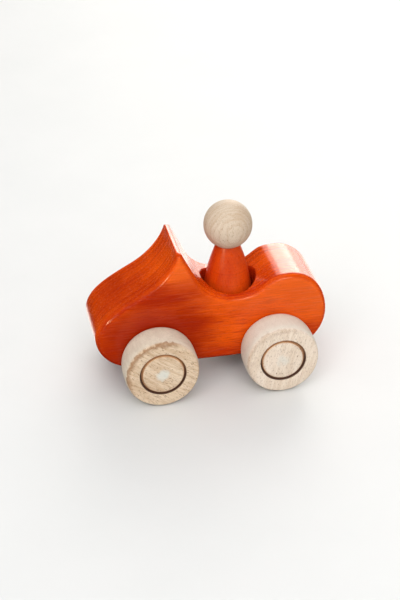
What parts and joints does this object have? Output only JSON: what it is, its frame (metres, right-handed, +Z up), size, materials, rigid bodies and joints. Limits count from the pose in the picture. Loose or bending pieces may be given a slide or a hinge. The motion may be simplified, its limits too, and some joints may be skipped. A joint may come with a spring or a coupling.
{
  "type": "pull back car",
  "caption": "Thick wooden toy car with wide beech wheels, a lift-out peg driver and a geared spring motor in its belly that winds when the car is pulled back.",
  "frame": {"origin": "on the floor under the middle of the car's length and width, so the wheels touch z = 0", "axes": "+X towards the nose, +Y towards the car's left side, +Z up"},
  "size_m": [0.126, 0.0766, 0.0976],
  "materials": {
    "stained_beech": "orange-red stain under satin varnish, grain showing",
    "natural_beech": "bare beech, fine sanded",
    "steel": "drawn bright steel",
    "zinc_plated_steel": "zinc plated",
    "spring_steel": "blued strip",
    "case_plastic": "fine spark-eroded texture",
    "gear_plastic": "natural acetal"
  },
  "bodies": {
    "chassis": {"car_body": "stained_beech", "motor_case_left": "case_plastic", "motor_case_right": "case_plastic", "motor_case_screws": "zinc_plated_steel", "motor_mount_screws": "zinc_plated_steel", "spring_arbor": "steel", "mainspring": "spring_steel", "idler_pin": "steel"},
    "front_wheelset": {"front_axle": "steel", "front_wheel_left": "natural_beech", "front_wheel_right": "natural_beech", "front_hub_cap_left": "natural_beech", "front_hub_cap_right": "natural_beech"},
    "rear_wheelset": {"rear_axle": "steel", "rear_wheel_left": "natural_beech", "rear_wheel_right": "natural_beech", "rear_hub_cap_left": "natural_beech", "rear_hub_cap_right": "natural_beech", "axle_pinion": "gear_plastic"},
    "idler": {"idler_gear": "gear_plastic"},
    "drum": {"spring_gear": "gear_plastic"},
    "driver": {"driver_body": "stained_beech", "driver_head": "natural_beech", "driver_neck_dowel": "natural_beech"}
  },
  "joints": [
    {"name": "front_axle_spin", "type": "hinge", "parent": "chassis", "child": "front_wheelset", "pos_m": [0.0307, 0, 0.02], "axis": [0, 1, 0], "continuous": true},
    {"name": "rear_axle_spin", "type": "hinge", "parent": "chassis", "child": "rear_wheelset", "pos_m": [-0.0343, 0, 0.02], "axis": [0, 1, 0], "continuous": true},
    {"name": "idler_spin", "type": "hinge", "parent": "chassis", "child": "idler", "pos_m": [-0.02775, 0, 0.02459], "axis": [0, 1, 0], "continuous": true},
    {"name": "drum_spin", "type": "hinge", "parent": "chassis", "child": "drum", "pos_m": [-0.01726, 0, 0.024], "axis": [0, 1, 0], "continuous": true, "deforming": ["mainspring"]},
    {"name": "driver_lift", "type": "slide", "parent": "chassis", "child": "driver", "axis": [0, 0, 1], "range_m": [0, 0.055]}
  ],
  "couplings": [
    {"joint": "idler_spin", "follows": "rear_axle_spin", "ratio": -0.6},
    {"joint": "drum_spin", "follows": "rear_axle_spin", "ratio": 0.1875}
  ]
}
